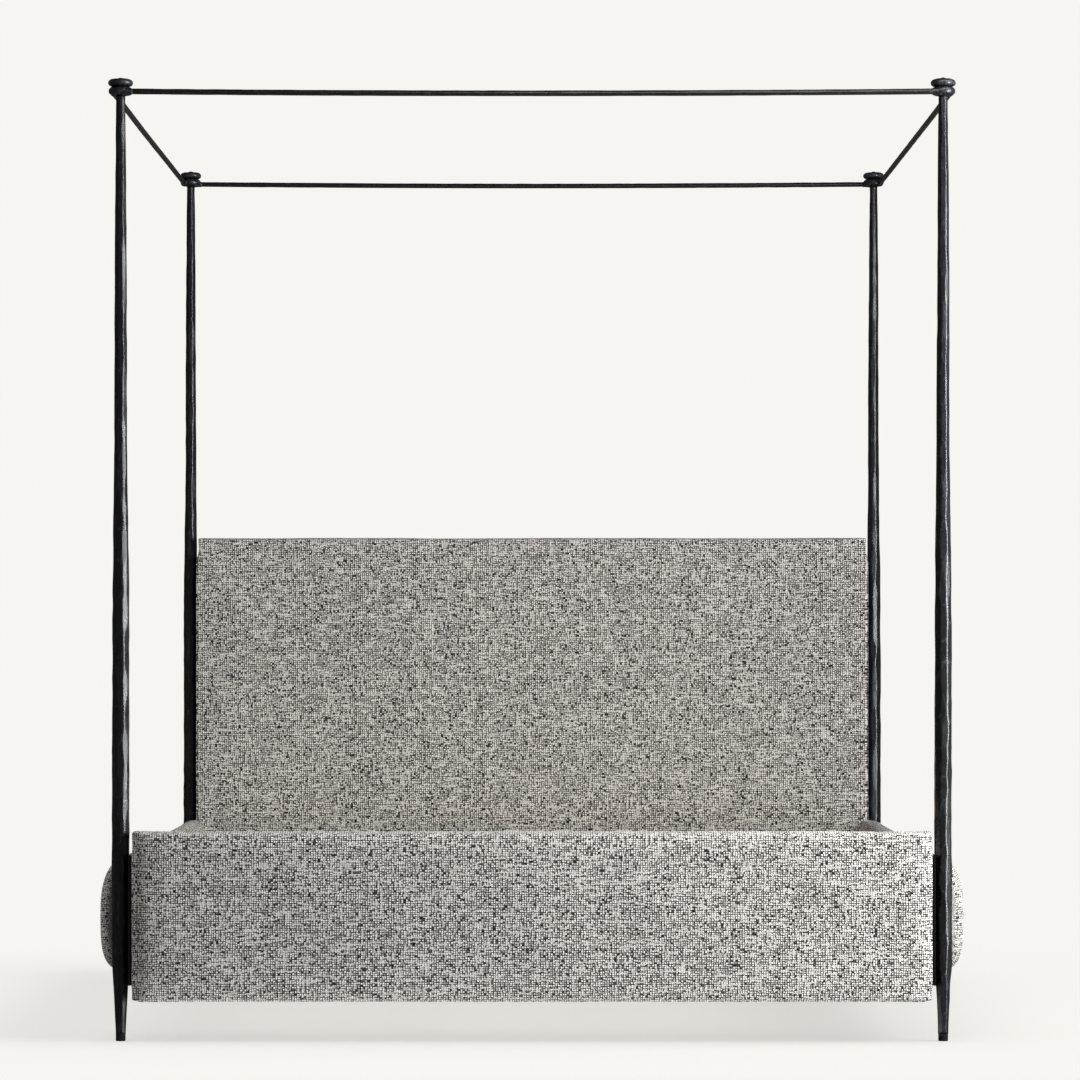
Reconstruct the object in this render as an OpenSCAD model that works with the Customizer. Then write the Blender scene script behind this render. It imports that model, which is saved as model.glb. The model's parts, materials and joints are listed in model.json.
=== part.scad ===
// Four poster canopy bed: forged posts and canopy bars around an upholstered
// headboard, footboard and side rails, with a slatted deck and no mattress.
// Millimetres. +Z is up, +X is the right side seen from the foot, and the
// footboard is on the -Y side. The origin is on the floor, in the middle of
// the footprint.

/* [Mattress] */
// Width of the mattress
mattress_w = 1930; // [1500:10:2030]
// Length of the mattress
mattress_l = 2032; // [1900:1:2130]
// Gap beside the mattress, each side
side_gap = 15; // [10:1:20]
// Gap at the head and at the foot of the mattress
end_gap = 9; // [6:1:20]

/* [Posts] */
// Height to the tip of the finials
total_h = 2407; // [2340:1:2600]
// Diameter at the floor
post_foot_d = 24.4; // [22:0.1:28]
// Diameter at the thickest part, beside the footboard
post_belly_d = 44; // [42:0.5:48]
// Diameter at the slim part, above the headboard
post_waist_d = 31; // [28:0.5:36]
// Diameter just under the corner ring
post_neck_d = 22; // [20:0.5:26]

/* [Canopy] */
// Diameter of the canopy bars
bar_d = 14.5; // [12:0.5:16]
// Diameter of the corner rings
ring_d = 59; // [56:1:66]
// Thickness of the corner rings
ring_t = 19; // [17:0.5:22]
// Diameter of the finials
finial_d = 61; // [50:1:70]

/* [Upholstery] */
// Height of the headboard's top edge
headboard_top = 1304; // [1250:1:1500]
// Height of the footboard's top edge
footboard_top = 524; // [490:1:600]
// Height of the lower edge of both panels
panel_bottom = 100; // [80:1:120]
// Thickness of both panels
panel_t = 100; // [90:1:110]
// Height of the side rails' top
rail_top = 457; // [435:1:480]
// Height of the side rails' lower edge
rail_bottom = 171; // [160:1:180]
// Width of the side rails, from the inner face to the bulge outside
rail_w = 104; // [96:1:110]

/* [Deck] */
// Height of the slats' top face
deck_z = 405; // [395:1:415]
// Number of slats, an odd number so that one is in the middle
slat_count = 15; // [13:2:17]
// Width of a slat
slat_w = 68; // [50:1:80]
// How far the levelling foot unscrews
foot_travel = 20; // [10:1:25]

/* [Hidden] */

$fn = 64;
eps = 0.01;
LEFT = -1;
RIGHT = 1;
FRONT = -1;
REAR = 1;

METAL = "#2b2b2e";
TWEED = "#9b9690";
TIMBER = "#c9a878";
STEEL = "#3a3a3c";
NYLON = "#1c1c1c";
WEBBING = "#e6e2d8";

// Plan of the frame, from the mattress outwards
inner_x = mattress_w / 2 + side_gap;
inner_y = mattress_l / 2 + end_gap;
rail_inset = 48;
post_x = inner_x + rail_inset;
post_y = inner_y + panel_t / 2;

// Post plates stand between a post and the end of a panel
plate_t = 6;
plate_w = 60;
plate_z = 140;
plate_out = post_x - post_belly_d / 2 + 1;
panel_x = plate_out - plate_t;
front_plate_top = footboard_top - 59;
rear_plate_top = headboard_top - 60;

// Top fittings: ring, finial and the bars, which pass outside the post's axis
tip_h = 4;
finial_t = 17.5;
finial_neck_h = 2.5;
finial_neck_r = 14;
ring_top = total_h - tip_h - finial_t - finial_neck_h;
post_top = ring_top - ring_t;
bar_z = ring_top - ring_t / 2 - 2.5;
bar_out = 18.5;
bar_seam = 31;
lug_r = bar_d / 2 + 0.25;
lug_root_r = ring_t / 2 - 0.5;
lug_cone_x = 22;
lug_cone_l = 16;
tenon_l = 13;
tenon_r = 5;
tenon_fit = 0.15;
stud_r = 5;
stud_fit = 0.2;
stud_l = 30;

// Caps under the posts
cap_h = 18;
cap_stem_r = 5;
cap_stem_l = 22;

// Timber frame inside a panel
end_foam = 10;
edge_foam = 14;
frame_lift = 2;
stile_w = 70;
middle_stile_w = 90;
cross_rail_w = 60;
frame_t = 44;
skin_t = 6;
panel_round = 16;
frame_x = panel_x - end_foam;
frame_bottom = panel_bottom + frame_lift;
core_t = frame_t + 2 * skin_t;

// Timber board inside a side rail
rail_skin = 5;
board_t = 45;
board_top = rail_top - 15;
board_y = inner_y - 6;
rail_end_y = inner_y - 1;
rail_end_gap = 3.3;
post_face_y = post_y - post_belly_d / 2 - rail_end_gap;
rail_step_x = panel_x + plate_t + 1;

// Bolts and screws
bolt_r = 4;
screw_r = 3;
hole_fit = 0.2;
bed_bolt_l = 82;
bed_head_r = 6.5;
bed_head_l = 10;
bed_head_out = 10;
bed_bolt_z = [200, 400];
upper_bolt_z = headboard_top - 154;
button_head_r = 8;
button_head_l = 4.5;
screw_head_r = 6;
screw_head_l = 3;

// Corner brackets, below the deck, in the four inner corners
bracket_leg = 45;
bracket_t = 4;
bracket_z = deck_z - 195;
bracket_h = 120;
bracket_bolt_dx = 26;
bracket_bolt_rise = [30, 90];
bracket_bolt_z = [for (rise = bracket_bolt_rise) bracket_z + rise];
panel_bolt_l = 55;
rail_bolt_l = 42;

// Ledges, slats and straps
slat_t = 18;
ledge_w = 40;
ledge_t = 4;
ledge_top = deck_z - slat_t;
ledge_y = inner_y - 15;
ledge_screw_z = ledge_top - 24;
ledge_screw_count = 8;
ledge_screw_pitch = 270;
ledge_screw_l = 32;
slat_x = inner_x - 6;
slat_end_y = inner_y - 63;
slat_pitch = 2 * slat_end_y / (slat_count - 1);
strap_x = inner_x - 110;
strap_w = 25;
strap_t = 1.2;

// Centre beam, its hangers and its leg
beam_w = 40;
beam_h = 60;
beam_wall = 2.5;
beam_y = inner_y - 7;
beam_z = ledge_top - beam_h;
hanger_t = 4;
hanger_w = 90;
hanger_reach = 55;
hanger_fit = 0.5;
hanger_cheek_h = 50;
hanger_screw_x = 34;
hanger_screw_rise = [14, 48];
hanger_screw_z = [for (rise = hanger_screw_rise) beam_z + rise];
hanger_screw_l = 44;
leg_y = 55;
leg_r = 16;
leg_bore_r = 13.5;
flange_t = 5;
flange_l = 60;
flange_fold_t = 4;
flange_fold_h = 28;
leg_screw_y = 20;
leg_screw_z = beam_z + hanger_screw_rise[0];
leg_screw_l = 6;
insert_h = 42;
foot_r = 25;
foot_h = 10;
foot_rim_h = 6;
foot_top_r = 16;
foot_hub_r = 12;
foot_hub_h = 4;
foot_stem_r = 5;
foot_stem_l = foot_travel + 18;
foot_fit = 0.3;

function superellipse(a, b, n, from, steps) =
    [for (i = [0 : steps])
        let (t = from + 90 * i / steps, c = cos(t), s = sin(t))
        [a * sign(c) * pow(abs(c), 2 / n), b * sign(s) * pow(abs(s), 2 / n)]];

// Draws its children, which are made for the right rear corner, in any corner
module to_corner(side, end) {
    mirror([side == LEFT ? 1 : 0, 0, 0]) mirror([0, end == FRONT ? 1 : 0, 0]) children();
}

module along_x(x, y, z, r, l) {
    translate([x, y, z]) rotate([0, 90, 0]) cylinder(r = r, h = l);
}

module along_y(x, y, z, r, l) {
    translate([x, y, z]) rotate([-90, 0, 0]) cylinder(r = r, h = l);
}

// ---- Posts and canopy, all drawn in the right rear corner ----

// Height and diameter up the post: slim foot, full belly, long taper to the neck
post_rings = [
    [cap_h, post_foot_d + 0.4], [60, post_foot_d + 3.8], [139, post_belly_d - 8],
    [187, post_belly_d - 1], [350, post_belly_d], [1000, post_belly_d - 1.5],
    [1160, post_waist_d + 10], [1310, post_waist_d + 5.6], [1450, post_waist_d + 1.7],
    [1760, post_waist_d], [2060, post_waist_d - 2.5], [2280, post_neck_d + 2.8],
    [post_top - 7, post_neck_d], [post_top, post_neck_d + 2]
];

module post(end) {
    top_of_plate = end == FRONT ? front_plate_top : rear_plate_top;
    color(METAL) difference() {
        translate([post_x, post_y, 0]) rotate_extrude()
            polygon(concat([[0, cap_h]], [for (p = post_rings) [p[1] / 2, p[0]]], [[0, post_top]]));
        translate([plate_out - post_belly_d, post_y - plate_w, plate_z])
            cube([post_belly_d, 2 * plate_w, top_of_plate - plate_z]);
        translate([post_x, post_y, cap_h - eps])
            cylinder(r = cap_stem_r + stud_fit, h = cap_stem_l + 1);
        translate([post_x, post_y, post_top - stud_l])
            cylinder(r = stud_r + stud_fit, h = stud_l + eps);
        bed_bolt_holes(end);
    }
}

module foot_cap() {
    color(NYLON) translate([post_x, post_y, 0]) {
        cylinder(d1 = post_foot_d - 1, d2 = post_foot_d, h = 2);
        translate([0, 0, 2]) cylinder(d1 = post_foot_d, d2 = post_foot_d + 0.4, h = cap_h - 2);
        translate([0, 0, cap_h - eps]) cylinder(r = cap_stem_r, h = cap_stem_l);
    }
}

module lug() {
    along_x(-bar_seam, bar_out, bar_z, lug_r, bar_seam - lug_cone_x + 2);
    translate([-lug_cone_x, bar_out, bar_z]) rotate([0, 90, 0])
        cylinder(r1 = lug_r, r2 = lug_root_r, h = lug_cone_l);
}

// The ring's rim is a half round; the two lugs hold the bars outside the post's axis
module corner_ring() {
    flat_r = (ring_d - ring_t) / 2;
    rim = [for (a = [-90 : 10 : 90]) [flat_r + ring_t / 2 * cos(a), ring_t / 2 * (1 + sin(a))]];
    bore_r = tenon_r + tenon_fit;
    color(METAL) translate([post_x, post_y, 0]) difference() {
        union() {
            translate([0, 0, post_top]) rotate_extrude() polygon(concat([[0, 0]], rim, [[0, ring_t]]));
            lug();
            mirror([1, -1, 0]) lug();
        }
        translate([0, 0, post_top - eps]) cylinder(r = stud_r + stud_fit, h = ring_t + 1);
        along_x(-bar_seam - 1, bar_out, bar_z, bore_r, tenon_l + 2);
        along_y(bar_out, -bar_seam - 1, bar_z, bore_r, tenon_l + 2);
    }
}

// Flattened disc with a small nub, on a threaded stud through the ring into the post
module finial() {
    round_r = 11.5;
    flat_r = finial_d / 2 - round_r;
    disc = [for (a = [-90 : 10 : 90])
        [flat_r + round_r * cos(a), finial_neck_h + finial_t / 2 * (1 + sin(a))]];
    nub_r = 8;
    nub_z = finial_neck_h + finial_t;
    nub = [for (a = [0 : 15 : 75]) [nub_r * cos(a), nub_z + tip_h * sin(a)]];
    color(METAL) translate([post_x, post_y, ring_top]) union() {
        rotate_extrude() polygon(concat([[0, 0], [finial_neck_r, 0]], disc, nub, [[0, nub_z + tip_h]]));
        translate([0, 0, -ring_t - stud_l + 3]) cylinder(r = stud_r, h = ring_t + stud_l);
    }
}

module cross_bar() {
    seam_x = post_x - bar_seam;
    color(METAL) union() {
        along_x(-seam_x, post_y + bar_out, bar_z, bar_d / 2, 2 * seam_x);
        along_x(-seam_x - tenon_l, post_y + bar_out, bar_z, tenon_r, 2 * (seam_x + tenon_l));
    }
}

module side_bar() {
    seam_y = post_y - bar_seam;
    color(METAL) union() {
        along_y(post_x + bar_out, -seam_y, bar_z, bar_d / 2, 2 * seam_y);
        along_y(post_x + bar_out, -seam_y - tenon_l, bar_z, tenon_r, 2 * (seam_y + tenon_l));
    }
}

// ---- Joints between the posts, the panels and the rails ----

function bolt_heights(end) = end == FRONT ? bed_bolt_z : concat(bed_bolt_z, [upper_bolt_z]);

module bed_bolt_holes(end) {
    for (z = bolt_heights(end)) {
        along_x(frame_x - stile_w, post_y, z, bolt_r + hole_fit, 2 * stile_w + post_belly_d);
        along_x(post_x + bed_head_out, post_y, z, bed_head_r + hole_fit, post_belly_d);
    }
}

module bed_bolts(end) {
    for (z = bolt_heights(end)) {
        along_x(post_x + bed_head_out + bed_head_l - bed_bolt_l, post_y, z, bolt_r, bed_bolt_l - 1);
        along_x(post_x + bed_head_out, post_y, z, bed_head_r, bed_head_l);
    }
}

module post_plate(end) {
    h = (end == FRONT ? front_plate_top : rear_plate_top) - plate_z;
    color(METAL) difference() {
        translate([panel_x, post_y - plate_w / 2, plate_z]) cube([plate_t, plate_w, h]);
        bed_bolt_holes(end);
    }
}

module corner_bolt_holes() {
    for (z = bracket_bolt_z) {
        along_y(inner_x - bracket_bolt_dx, inner_y - bracket_t - 1, z, bolt_r + hole_fit,
            panel_bolt_l + 3);
        along_x(inner_x - bracket_t - 1, inner_y - bracket_bolt_dx, z, bolt_r + hole_fit,
            rail_bolt_l + 3);
    }
}

module corner_bolts() {
    for (z = bracket_bolt_z) {
        along_y(inner_x - bracket_bolt_dx, inner_y - bracket_t - button_head_l, z,
            button_head_r, button_head_l);
        along_y(inner_x - bracket_bolt_dx, inner_y - bracket_t - eps, z, bolt_r, panel_bolt_l);
        along_x(inner_x - bracket_t - button_head_l, inner_y - bracket_bolt_dx, z,
            button_head_r, button_head_l);
        along_x(inner_x - bracket_t - eps, inner_y - bracket_bolt_dx, z, bolt_r, rail_bolt_l);
    }
}

module corner_bracket() {
    difference() {
        translate([inner_x - bracket_leg, inner_y - bracket_leg, bracket_z]) difference() {
            cube([bracket_leg, bracket_leg, bracket_h]);
            translate([-1, -1, -1])
                cube([bracket_leg + 1 - bracket_t, bracket_leg + 1 - bracket_t, bracket_h + 2]);
        }
        corner_bolt_holes();
    }
}

module corner_brackets() {
    color(STEEL) for (side = [LEFT, RIGHT], end = [FRONT, REAR]) to_corner(side, end) corner_bracket();
}

module frame_bolts() {
    color(STEEL) for (side = [LEFT, RIGHT], end = [FRONT, REAR]) to_corner(side, end) {
        bed_bolts(end);
        corner_bolts();
    }
}

// ---- Headboard and footboard, drawn at the rear and mirrored to the front ----

function panel_top(end) = end == FRONT ? footboard_top : headboard_top;
function frame_top(end) = panel_top(end) - edge_foam;

module panel_holes(end) {
    for (side = [LEFT, RIGHT]) to_corner(side, REAR) {
        bed_bolt_holes(end);
        corner_bolt_holes();
    }
    hanger_screw_holes();
}

module stile(end, side) {
    color(TIMBER) difference() {
        to_corner(side, REAR) translate([frame_x - stile_w, post_y - frame_t / 2, frame_bottom])
            cube([stile_w, frame_t, frame_top(end) - frame_bottom]);
        panel_holes(end);
    }
}

module middle_stile(end) {
    bottom = frame_bottom + cross_rail_w;
    color(TIMBER) difference() {
        translate([-middle_stile_w / 2, post_y - frame_t / 2, bottom])
            cube([middle_stile_w, frame_t, frame_top(end) - cross_rail_w - bottom]);
        hanger_screw_holes();
    }
}

module cross_rail(bottom) {
    half = frame_x - stile_w;
    color(TIMBER) translate([-half, post_y - frame_t / 2, bottom])
        cube([2 * half, frame_t, cross_rail_w]);
}

module skin(end, face_y) {
    color(TIMBER) difference() {
        translate([-frame_x, face_y, frame_bottom])
            cube([2 * frame_x, skin_t, frame_top(end) - frame_bottom]);
        panel_holes(end);
    }
}

module inner_skin(end) {
    skin(end, post_y - core_t / 2);
}

module outer_skin(end) {
    skin(end, post_y + frame_t / 2);
}

// Upholstery around the timber frame, open below where the frame goes in
module panel_upholstery(end) {
    top = panel_top(end);
    color(TWEED) difference() {
        translate([-panel_x, post_y, 0]) rotate([90, 0, 90]) linear_extrude(2 * panel_x)
            union() {
                for (y = [-1, 1], z = [panel_bottom + panel_round, top - panel_round])
                    translate([y * (panel_t / 2 - panel_round), z]) circle(panel_round);
                translate([-panel_t / 2, panel_bottom + panel_round])
                    square([panel_t, top - panel_bottom - 2 * panel_round]);
                translate([-panel_t / 2 + panel_round, panel_bottom])
                    square([panel_t - 2 * panel_round, top - panel_bottom]);
            }
        translate([-frame_x, post_y - core_t / 2, panel_bottom - 1])
            cube([2 * frame_x, core_t, frame_top(end) - panel_bottom + 1]);
        panel_holes(end);
    }
}

// ---- Side rails, drawn on the right ----

// D-shaped section: nearly flat inside, a full curve outside that is squarer below
module rail_section() {
    crest = 28;
    z_mid = (rail_top + rail_bottom) / 2;
    half_h = (rail_top - rail_bottom) / 2;
    bulge = rail_w - crest;
    steps = 12;
    translate([inner_x + crest, z_mid]) polygon(concat(
        superellipse(bulge, half_h, 2.5, 0, steps),
        superellipse(crest, half_h, 6, 90, steps),
        superellipse(crest, half_h, 6, 180, steps),
        superellipse(bulge, half_h, 3.5, 270, steps)
    ));
}

// The upholstery is stepped at its ends, where it passes outside the panels to the posts
module rail_upholstery() {
    color(TWEED) difference() {
        translate([0, post_face_y, 0]) rotate([90, 0, 0]) linear_extrude(2 * post_face_y)
            rail_section();
        for (end = [FRONT, REAR]) to_corner(RIGHT, end)
            translate([inner_x - 1, rail_end_y, rail_bottom - 1])
                cube([rail_step_x + 1 - inner_x, panel_t, rail_top - rail_bottom + 2]);
        translate([inner_x + rail_skin, -board_y, rail_bottom - 1])
            cube([board_t, 2 * board_y, board_top - rail_bottom + 1]);
        rail_holes();
    }
}

module rail_board() {
    color(TIMBER) difference() {
        translate([inner_x + rail_skin, -board_y, rail_bottom + 1])
            cube([board_t, 2 * board_y, board_top - rail_bottom - 1]);
        rail_holes();
    }
}

module rail_holes() {
    for (end = [FRONT, REAR]) to_corner(RIGHT, end) corner_bolt_holes();
    ledge_screw_holes();
}

// ---- Deck ----

module ledge_screw_places() {
    for (i = [0 : ledge_screw_count - 1])
        translate([inner_x, (i - (ledge_screw_count - 1) / 2) * ledge_screw_pitch, ledge_screw_z])
            children();
}

module ledge_screw_holes() {
    ledge_screw_places() along_x(-ledge_t - 1, 0, 0, screw_r + hole_fit, ledge_screw_l + 2);
}

module ledge_screws() {
    ledge_screw_places() {
        along_x(-ledge_t - screw_head_l, 0, 0, screw_head_r, screw_head_l);
        along_x(-ledge_t - eps, 0, 0, screw_r, ledge_screw_l);
    }
}

// Steel angle along the inner face of a rail, with its flat leg on top
module slat_ledge() {
    color(STEEL) difference() {
        translate([inner_x - ledge_w, -ledge_y, ledge_top - ledge_w]) difference() {
            cube([ledge_w, 2 * ledge_y, ledge_w]);
            translate([-1, -1, -1]) cube([ledge_w + 1 - ledge_t, 2 * ledge_y + 2, ledge_w + 1 - ledge_t]);
        }
        ledge_screw_holes();
    }
}

module slats() {
    color(TIMBER) for (i = [0 : slat_count - 1])
        translate([-slat_x, i * slat_pitch - slat_end_y - slat_w / 2, ledge_top])
            cube([2 * slat_x, slat_w, slat_t]);
}

module slat_straps() {
    color(WEBBING) for (side = [LEFT, RIGHT]) to_corner(side, REAR)
        translate([strap_x - strap_w / 2, -slat_end_y - slat_w / 2, ledge_top - strap_t])
            cube([strap_w, 2 * slat_end_y + slat_w, strap_t]);
}

module centre_beam() {
    color(STEEL) difference() {
        translate([-beam_w / 2, -beam_y, beam_z]) cube([beam_w, 2 * beam_y, beam_h]);
        translate([-beam_w / 2 + beam_wall, -beam_y - 1, beam_z + beam_wall])
            cube([beam_w - 2 * beam_wall, 2 * beam_y + 2, beam_h - 2 * beam_wall]);
        leg_screw_holes();
    }
}

// Cradle at one end of the beam: a plate on the panel, with a floor and two cheeks
module beam_hanger() {
    cheek_x = beam_w / 2 + hanger_fit;
    base_z = beam_z - hanger_t;
    difference() {
        union() {
            translate([-hanger_w / 2, inner_y - hanger_t, base_z])
                cube([hanger_w, hanger_t, beam_h + hanger_t]);
            translate([-cheek_x - hanger_t, inner_y - hanger_reach, base_z])
                cube([2 * (cheek_x + hanger_t), hanger_reach, hanger_cheek_h]);
        }
        translate([-cheek_x, inner_y - hanger_reach - 1, beam_z])
            cube([2 * cheek_x, hanger_reach + 1 - hanger_t, beam_h]);
        hanger_screw_holes();
    }
}

module beam_hangers() {
    color(STEEL) for (end = [FRONT, REAR]) to_corner(RIGHT, end) beam_hanger();
}

module hanger_screw_places() {
    for (side = [LEFT, RIGHT], z = hanger_screw_z) translate([side * hanger_screw_x, inner_y, z])
        children();
}

module hanger_screw_holes() {
    hanger_screw_places() along_y(0, -hanger_t - 1, 0, screw_r + hole_fit, hanger_screw_l + 3);
}

module hanger_screws() {
    hanger_screw_places() {
        along_y(0, -hanger_t - screw_head_l, 0, screw_head_r, screw_head_l);
        along_y(0, -hanger_t - eps, 0, screw_r, hanger_screw_l);
    }
}

module leg_screw_places() {
    for (dy = [-leg_screw_y, leg_screw_y], side = [LEFT, RIGHT])
        translate([0, leg_y + dy, leg_screw_z]) to_corner(side, REAR)
            translate([beam_w / 2 + flange_fold_t, 0, 0]) children();
}

module leg_screw_holes() {
    leg_screw_places() along_x(-flange_fold_t - beam_wall - 2, 0, 0, screw_r + hole_fit,
        flange_fold_t + beam_wall + 4);
}

module leg_screws() {
    leg_screw_places() {
        along_x(0, 0, 0, screw_head_r, screw_head_l);
        along_x(-leg_screw_l, 0, 0, screw_r, leg_screw_l + eps);
    }
}

// Tube under the middle of the beam, with a saddle on top and a threaded insert below
module support_leg() {
    bottom = foot_h + foot_hub_h;
    color(STEEL) difference() {
        translate([0, leg_y, 0]) difference() {
            union() {
                translate([0, 0, bottom]) cylinder(r = leg_r, h = beam_z - flange_t - bottom + eps);
                translate([-beam_w / 2 - flange_fold_t, -flange_l / 2, beam_z - flange_t])
                    cube([beam_w + 2 * flange_fold_t, flange_l, flange_t + flange_fold_h]);
            }
            translate([-beam_w / 2, -flange_l / 2 - 1, beam_z])
                cube([beam_w, flange_l + 2, flange_fold_h + 1]);
            translate([0, 0, bottom + insert_h])
                cylinder(r = leg_bore_r, h = beam_z - flange_t - bottom - insert_h);
            translate([0, 0, bottom - eps])
                cylinder(r = foot_stem_r + foot_fit, h = insert_h + 1);
        }
        leg_screw_holes();
    }
}

// Round pad, hub and threaded stem, shown screwed in until the hub meets the leg
module levelling_foot() {
    color(NYLON) translate([0, leg_y, 0]) rotate_extrude() polygon([
        [0, 0], [foot_r - 1, 0], [foot_r, 1], [foot_r, foot_rim_h], [foot_top_r, foot_h],
        [foot_hub_r, foot_h], [foot_hub_r, foot_h + foot_hub_h],
        [foot_stem_r, foot_h + foot_hub_h], [foot_stem_r, foot_h + foot_stem_l - 1],
        [foot_stem_r - 1, foot_h + foot_stem_l], [0, foot_h + foot_stem_l]
    ]);
}

module deck_screws() {
    color(STEEL) {
        for (side = [LEFT, RIGHT]) to_corner(side, REAR) ledge_screws();
        for (end = [FRONT, REAR]) to_corner(RIGHT, end) hanger_screws();
        leg_screws();
    }
}

// ---- Nodes ----

to_corner(LEFT, FRONT) post(FRONT);  // front_left_post
to_corner(RIGHT, FRONT) post(FRONT);  // front_right_post
to_corner(LEFT, REAR) post(REAR);  // rear_left_post
to_corner(RIGHT, REAR) post(REAR);  // rear_right_post

to_corner(LEFT, FRONT) foot_cap();  // front_left_foot_cap
to_corner(RIGHT, FRONT) foot_cap();  // front_right_foot_cap
to_corner(LEFT, REAR) foot_cap();  // rear_left_foot_cap
to_corner(RIGHT, REAR) foot_cap();  // rear_right_foot_cap

to_corner(LEFT, FRONT) corner_ring();  // front_left_corner_ring
to_corner(RIGHT, FRONT) corner_ring();  // front_right_corner_ring
to_corner(LEFT, REAR) corner_ring();  // rear_left_corner_ring
to_corner(RIGHT, REAR) corner_ring();  // rear_right_corner_ring

to_corner(LEFT, FRONT) finial();  // front_left_finial
to_corner(RIGHT, FRONT) finial();  // front_right_finial
to_corner(LEFT, REAR) finial();  // rear_left_finial
to_corner(RIGHT, REAR) finial();  // rear_right_finial

to_corner(RIGHT, FRONT) cross_bar();  // front_canopy_bar
to_corner(RIGHT, REAR) cross_bar();  // rear_canopy_bar
to_corner(LEFT, REAR) side_bar();  // left_canopy_bar
to_corner(RIGHT, REAR) side_bar();  // right_canopy_bar

to_corner(LEFT, FRONT) post_plate(FRONT);  // front_left_post_plate
to_corner(RIGHT, FRONT) post_plate(FRONT);  // front_right_post_plate
to_corner(LEFT, REAR) post_plate(REAR);  // rear_left_post_plate
to_corner(RIGHT, REAR) post_plate(REAR);  // rear_right_post_plate

stile(REAR, LEFT);  // headboard_left_stile
stile(REAR, RIGHT);  // headboard_right_stile
middle_stile(REAR);  // headboard_middle_stile
cross_rail(frame_top(REAR) - cross_rail_w);  // headboard_top_rail
cross_rail(frame_bottom);  // headboard_bottom_rail
inner_skin(REAR);  // headboard_front_skin
outer_skin(REAR);  // headboard_back_skin
panel_upholstery(REAR);  // headboard_upholstery

to_corner(RIGHT, FRONT) stile(FRONT, LEFT);  // footboard_left_stile
to_corner(RIGHT, FRONT) stile(FRONT, RIGHT);  // footboard_right_stile
to_corner(RIGHT, FRONT) middle_stile(FRONT);  // footboard_middle_stile
to_corner(RIGHT, FRONT) cross_rail(frame_top(FRONT) - cross_rail_w);  // footboard_top_rail
to_corner(RIGHT, FRONT) cross_rail(frame_bottom);  // footboard_bottom_rail
to_corner(RIGHT, FRONT) outer_skin(FRONT);  // footboard_front_skin
to_corner(RIGHT, FRONT) inner_skin(FRONT);  // footboard_back_skin
to_corner(RIGHT, FRONT) panel_upholstery(FRONT);  // footboard_upholstery

to_corner(LEFT, REAR) rail_board();  // left_rail_board
to_corner(RIGHT, REAR) rail_board();  // right_rail_board
to_corner(LEFT, REAR) rail_upholstery();  // left_rail_upholstery
to_corner(RIGHT, REAR) rail_upholstery();  // right_rail_upholstery

corner_brackets();
frame_bolts();
to_corner(LEFT, REAR) slat_ledge();  // left_slat_ledge
to_corner(RIGHT, REAR) slat_ledge();  // right_slat_ledge
centre_beam();
beam_hangers();
deck_screws();

support_leg();  // centre_support_leg
levelling_foot();  // centre_levelling_foot
slats();
slat_straps();
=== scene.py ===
import json
import math

import bpy
import numpy as np
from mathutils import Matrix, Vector, noise

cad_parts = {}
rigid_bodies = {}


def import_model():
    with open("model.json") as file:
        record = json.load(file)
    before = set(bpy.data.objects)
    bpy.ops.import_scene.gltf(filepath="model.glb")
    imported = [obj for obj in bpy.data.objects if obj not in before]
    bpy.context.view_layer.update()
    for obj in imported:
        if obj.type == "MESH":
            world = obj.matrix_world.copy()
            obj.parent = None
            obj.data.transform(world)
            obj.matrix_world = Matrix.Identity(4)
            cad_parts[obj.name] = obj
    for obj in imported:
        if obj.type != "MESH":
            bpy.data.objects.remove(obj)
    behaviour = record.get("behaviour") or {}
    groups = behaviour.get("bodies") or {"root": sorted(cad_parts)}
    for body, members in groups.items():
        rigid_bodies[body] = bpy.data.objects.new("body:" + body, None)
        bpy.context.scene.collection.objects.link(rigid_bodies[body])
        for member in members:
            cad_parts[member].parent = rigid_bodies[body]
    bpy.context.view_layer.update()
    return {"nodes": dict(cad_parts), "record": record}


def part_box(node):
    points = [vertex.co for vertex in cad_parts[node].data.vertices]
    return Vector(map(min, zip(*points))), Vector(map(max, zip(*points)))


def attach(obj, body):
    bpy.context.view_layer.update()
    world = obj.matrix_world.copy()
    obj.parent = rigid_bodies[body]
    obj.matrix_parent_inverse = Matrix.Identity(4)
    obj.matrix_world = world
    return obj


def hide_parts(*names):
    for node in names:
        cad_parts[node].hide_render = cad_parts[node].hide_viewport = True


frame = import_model()
nodes = frame["nodes"]

SIDES = {"left": -1, "right": 1}
ENDS = {"front": -1, "rear": 1}
BACKGROUND = (0.9217, 0.9131, 0.8796)


# ---- Small tools -----------------------------------------------------------------------


def vertices(mesh):
    """A mesh's points as an array with one row each."""
    points = np.zeros(len(mesh.vertices) * 3)
    mesh.vertices.foreach_get("co", points)
    return points.reshape(-1, 3)


def set_vertices(mesh, points):
    mesh.vertices.foreach_set("co", np.asarray(points, np.float32).ravel())
    mesh.update()


def normals(mesh):
    found = np.zeros(len(mesh.vertices) * 3)
    mesh.vertices.foreach_get("normal", found)
    return found.reshape(-1, 3)


def new_object(name, mesh, *materials):
    for material in materials:
        mesh.materials.append(material)
    made = bpy.data.objects.new(name, mesh)
    bpy.context.scene.collection.objects.link(made)
    return made


def mesh_of(name, points, faces):
    mesh = bpy.data.meshes.new(name)
    mesh.from_pydata(np.asarray(points).tolist(), [], faces)
    mesh.polygons.foreach_set("use_smooth", [True] * len(mesh.polygons))
    mesh.update()
    return mesh


def evaluated_mesh(piece):
    """A copy of the piece's mesh with its modifiers applied."""
    graph = bpy.context.evaluated_depsgraph_get()
    return bpy.data.meshes.new_from_object(piece.evaluated_get(graph), depsgraph=graph)


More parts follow.
